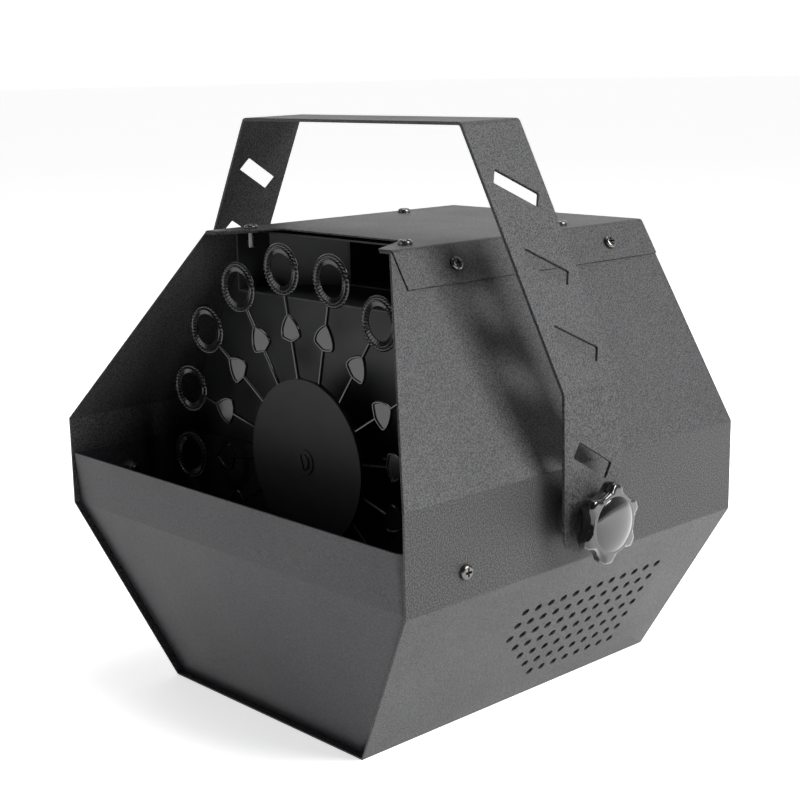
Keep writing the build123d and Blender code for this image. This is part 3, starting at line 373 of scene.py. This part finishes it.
def leaf_outline(inset=0.0):
    """Pick-shaped loop: two bowed sides from the tip, round shoulders and a blunt end by the hub."""
    half = LEAF_HALF_WIDTH - inset
    tip = LEAF_TIP - inset * 1.6
    base = LEAF_BASE + inset
    shoulder = base + LEAF_SHOULDER
    side = []
    for i in range(LEAF_SIDE_STEPS + 1):
        share = i / LEAF_SIDE_STEPS
        x = tip + (shoulder + 0.5 - tip) * share
        side.append((x, half * math.sin(share * math.pi / 2) ** 0.85))
    side.append((shoulder - 0.2, half - 0.15))
    side.append((shoulder - 0.9, half - 0.7))
    for i in range(1, LEAF_END_STEPS + 1):
        share = i / LEAF_END_STEPS
        x = base + (LEAF_SHOULDER - 1.2) * (1 - share) ** 1.4
        side.append((x, (half - 1.6) * (1 - share)))
    return side + [(x, -y) for x, y in reversed(side[1:-1])]


def add_leaf(bm, place):
    """Leaf of the wand: a round rim with a thin film inside it."""
    outline = leaf_outline()
    add_tube(bm, place, outline, LEAF_RIM_RADIUS, BAR_HALF_DEPTH, closed=True)
    film = leaf_outline(LEAF_FILM_INSET)
    lower = [bm.verts.new(place @ Vector((x, y, -LEAF_FILM))) for x, y in film]
    upper = [bm.verts.new(place @ Vector((x, y, LEAF_FILM))) for x, y in film]
    bridge(bm, lower, upper)
    bm.faces.new(list(reversed(lower)))
    bm.faces.new(upper)


def add_hub_plate(bm, place):
    """Many-sided plate under the disc, with one corner at each wand."""
    rows = []
    section = (
        (-HUB_PLATE_HALF, HUB_PLATE_BORE), (-HUB_PLATE_HALF, HUB_PLATE_RADIUS),
        (HUB_PLATE_HALF, HUB_PLATE_RADIUS), (HUB_PLATE_HALF, HUB_PLATE_BORE),
    )
    angles = [math.radians(WAND_PHASE) + TURN * i / WANDS for i in range(WANDS)]
    for height, radius in section:
        corners = [Vector((radius * math.cos(a), radius * math.sin(a), height)) for a in angles]
        rows.append([bm.verts.new(place @ corner) for corner in corners])
    for i in range(4):
        bridge(bm, rows[i], rows[(i + 1) % 4])


def add_sleeve(bm, place, length):
    """Sleeve behind the plate, round the shaft."""
    rows = []
    section = ((SLEEVE_BORE, 0), (SLEEVE_RADIUS, 0), (SLEEVE_RADIUS, -length), (SLEEVE_BORE, -length))
    angles = [TURN * i / SLEEVE_SIDES for i in range(SLEEVE_SIDES)]
    for radius, height in section:
        corners = [Vector((radius * math.cos(a), radius * math.sin(a), height)) for a in angles]
        rows.append([bm.verts.new(place @ corner) for corner in corners])
    for i in range(4):
        bridge(bm, rows[i], rows[(i + 1) % 4])


def make_wand_wheel():
    """The wheel's moulding, in place of its plain CAD solid."""
    axle = Vector(next(j for j in frame["joints"] if j["child"] == "wheel")["pos_m"])
    rear_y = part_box("wand_wheel")[1].y
    stand = Matrix.Translation(axle) @ Matrix.Rotation(math.pi / 2, 4, "X") @ Matrix.Scale(MM, 4)
    bm = bmesh.new()
    for i in range(WANDS):
        turn = Matrix.Rotation(math.radians(WAND_PHASE) + TURN * i / WANDS, 4, "Z")
        lean = Matrix.Rotation(-WAND_LEAN, 4, "Y")
        edge = Matrix.Translation((LEAN_RADIUS, 0, 0))
        place = stand @ turn @ edge @ lean @ edge.inverted()
        add_ring(bm, place)
        add_leaf(bm, place)
        ring_edge = RING_CIRCLE - FLANGE_RADIUS
        spoke = [(x, 0.0) for x in (HUB_PLATE_RADIUS - SPOKE_ROOT_LAP, SPOKE_MIDDLE, LEAF_BASE)]
        stem = [(x, 0.0) for x in (LEAF_TIP - STEM_LAP, STEM_MIDDLE, ring_edge + STEM_LAP)]
        add_tube(bm, place, spoke, BAR_HALF_WIDTH, BAR_HALF_DEPTH)
        add_tube(bm, place, stem, BAR_HALF_WIDTH, BAR_HALF_DEPTH)
    add_hub_plate(bm, stand)
    add_sleeve(bm, stand, (rear_y - axle.y) / MM)
    wheel = add_mesh("wand_wheel_moulding", bm, "wheel", MATERIALS["wand_plastic"])
    wheel.data.set_sharp_from_angle(angle=WHEEL_CREASE)
    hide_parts("wand_wheel")


# ---------------------------------------------------------------- knobs
def lobe_radius(angle):
    """Outline of the knob's six lobes: round scallops with narrow tips between them."""
    step = TURN / KNOB_LOBES
    off = (angle + step / 2) % step - step / 2
    reach = KNOB_SCALLOP_CENTRE * math.sin(off)
    if abs(reach) >= KNOB_SCALLOP:
        return KNOB_TIP
    return min(KNOB_TIP, KNOB_SCALLOP_CENTRE * math.cos(off) - math.sqrt(KNOB_SCALLOP ** 2 - reach ** 2))


def soft_lobe(angle):
    """The outline with its corners rounded."""
    spans = [math.radians(degrees) for degrees in KNOB_SOFTENING]
    return sum(lobe_radius(angle + s) for s in spans) / len(spans)


def make_knob(name, node, body, side):
    """Lobed knob with a domed cap set in a shallow rim, facing +X or -X."""
    low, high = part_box(node)
    centre = (low + high) / 2
    seat_x = low.x if side > 0 else high.x
    length = (high.x - low.x) / MM
    axes = Matrix(((0, 0, side), (side, 0, 0), (0, 1, 0))).to_4x4()
    place = Matrix.Translation((seat_x, centre.y, centre.z)) @ axes @ Matrix.Scale(MM, 4)
    # (share of the lobed outline, plain radius, height)
    profile = (
        (0.0, 4.2, 0.0), (0.0, 8.6, 0.0), (0.0, 9.0, 0.4), (0.0, 9.2, 2.6), (0.35, 10.5, 3.3),
        (0.90, 13.0, 3.6), (0.955, 13.0, 4.0), (0.975, 13.0, 4.8), (0.985, 13.0, 6.5), (0.99, 13.0, 9.0),
        (0.98, 13.0, 10.2), (0.955, 13.0, 10.9), (0.92, 13.0, 11.25),
        (0.45, 14.2, length - 2.45), (0.0, 14.3, length - 2.35), (0.0, 13.8, length - 2.25),
        (0.0, 13.4, length - 2.35), (0.0, 13.1, length - 2.2), (0.0, 12.2, length - 1.75),
        (0.0, 10.0, length - 1.05), (0.0, 7.0, length - 0.42), (0.0, 3.5, length - 0.08),
    )
    bm = bmesh.new()
    rows = []
    for share, plain, height in profile:
        row = []
        for i in range(KNOB_STEPS):
            angle = TURN * i / KNOB_STEPS
            if share >= 0.9:
                radius = soft_lobe(angle) * share
            else:
                radius = plain + share * (soft_lobe(angle) - plain)
            turned = angle + math.radians(KNOB_PHASE + 30)
            spot = Vector((radius * math.cos(turned), radius * math.sin(turned), height))
            row.append(bm.verts.new(place @ spot))
        rows.append(row)
    for lower, upper in zip(rows, rows[1:]):
        bridge(bm, lower, upper)
    top = bm.verts.new(place @ Vector((0, 0, length)))
    for i in range(KNOB_STEPS):
        bm.faces.new((rows[-1][i], rows[-1][(i + 1) % KNOB_STEPS], top))
    inward = place.to_3x3() @ Vector((0, 0, KNOB_BORE_DEPTH))
    bore_end = [bm.verts.new(v.co + inward) for v in rows[0]]
    bridge(bm, bore_end, rows[0])
    bm.faces.new(bore_end)
    knob = add_mesh(name, bm, body, MATERIALS["knob_plastic"])
    knob.data.set_sharp_from_angle(angle=KNOB_CREASE)
    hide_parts(node)


# ---------------------------------------------------------------- stage, light and camera
def make_floor():
    """Plain pale floor that reaches far past the view."""
    mesh = bpy.data.meshes.new("floor")
    reach = FLOOR_REACH
    corners = [(-reach, -reach, 0), (reach, -reach, 0), (reach, reach, 0), (-reach, reach, 0)]
    mesh.from_pydata(corners, [], [(0, 1, 2, 3)])
    floor = bpy.data.objects.new("floor", mesh)
    bpy.context.scene.collection.objects.link(floor)
    material, shader, nodes, links = principled("floor_white")
    shader.inputs["Base Color"].default_value = (0.93, 0.93, 0.93, 1.0)
    shader.inputs["Roughness"].default_value = 0.9
    shader.inputs["Specular IOR Level"].default_value = 0.1
    coords = nodes.new("ShaderNodeTexCoord")
    haze = noise(nodes, links, coords, 3.0)
    glow = spread(nodes, links, haze.outputs["Fac"], FLOOR_GLOW - 0.01, FLOOR_GLOW + 0.01)
    shader.inputs["Emission Color"].default_value = (1.0, 1.0, 1.0, 1.0)
    links.new(glow.outputs["Result"], shader.inputs["Emission Strength"])
    mesh.materials.append(material)


def area_light(name, spot, aim, width, height, power):
    """Softbox that faces a point."""
    light = bpy.data.lights.new(name, "AREA")
    light.shape = "RECTANGLE"
    light.size = width
    light.size_y = height
    light.energy = power
    lamp = bpy.data.objects.new(name, light)
    bpy.context.scene.collection.objects.link(lamp)
    lamp.location = spot
    lamp.rotation_euler = (Vector(aim) - Vector(spot)).to_track_quat("-Z", "Y").to_euler()


def make_world():
    """Surroundings that are white behind the machine and fall away to dark on the camera's side."""
    world = bpy.data.worlds.new("studio")
    bpy.context.scene.world = world
    world.use_nodes = True
    nodes = world.node_tree.nodes
    links = world.node_tree.links
    coords = nodes.new("ShaderNodeTexCoord")
    facing = nodes.new("ShaderNodeVectorMath")
    facing.operation = "DOT_PRODUCT"
    facing.inputs[1].default_value = DARK_SIDE
    links.new(coords.outputs["Generated"], facing.inputs[0])
    share = nodes.new("ShaderNodeMapRange")
    share.inputs["From Min"].default_value = -1.0
    share.inputs["From Max"].default_value = 1.0
    links.new(facing.outputs["Value"], share.inputs["Value"])
    tone = ramp(nodes, links, share.outputs["Result"], WORLD_TONES)
    links.new(tone.outputs["Color"], nodes["Background"].inputs["Color"])
    nodes["Background"].inputs["Strength"].default_value = 1.1


def make_lights():
    """Soft key from the right and behind, a soft top light and a weak strip in front."""
    area_light("key", (1.35, 0.45, 1.05), (0.0, 0.0, 0.15), 0.9, 0.9, 45.0)
    area_light("top", (-0.2, 0.25, 1.5), (0.0, 0.0, 0.2), 0.8, 0.8, 7.0)
    area_light("front", (-0.5, -1.5, 0.5), (0.0, 0.0, 0.12), 0.35, 0.9, 3.0)


def make_camera():
    """Camera from its bearing, height angle, distance and roll about its target."""
    across = math.cos(CAMERA_ELEVATION)
    east = math.sin(CAMERA_AZIMUTH) * across
    south = -math.cos(CAMERA_AZIMUTH) * across
    back = Vector((east, south, math.sin(CAMERA_ELEVATION)))
    right = (-back).cross(Vector((0, 0, 1))).normalized()
    up = right.cross(-back)
    rolled_right = right * math.cos(CAMERA_ROLL) + up * math.sin(CAMERA_ROLL)
    rolled_up = up * math.cos(CAMERA_ROLL) - right * math.sin(CAMERA_ROLL)
    data = bpy.data.cameras.new("camera")
    data.lens = CAMERA_LENS
    data.sensor_width = CAMERA_SENSOR
    data.clip_start = 0.01
    data.clip_end = 100.0
    camera = bpy.data.objects.new("camera", data)
    bpy.context.scene.collection.objects.link(camera)
    turn = Matrix((rolled_right, rolled_up, back)).transposed().to_4x4()
    camera.matrix_world = Matrix.Translation(CAMERA_TARGET + back * CAMERA_DISTANCE) @ turn
    bpy.context.scene.camera = camera


# ---------------------------------------------------------------- build
bpy.context.scene.view_settings.view_transform = "Standard"
paint_cad_nodes()
make_wand_wheel()
make_knob("right_hand_knob", "right_knob", "right_knob", 1)
make_knob("left_hand_knob", "left_knob", "left_knob", -1)
make_floor()
make_world()
make_lights()
make_camera()
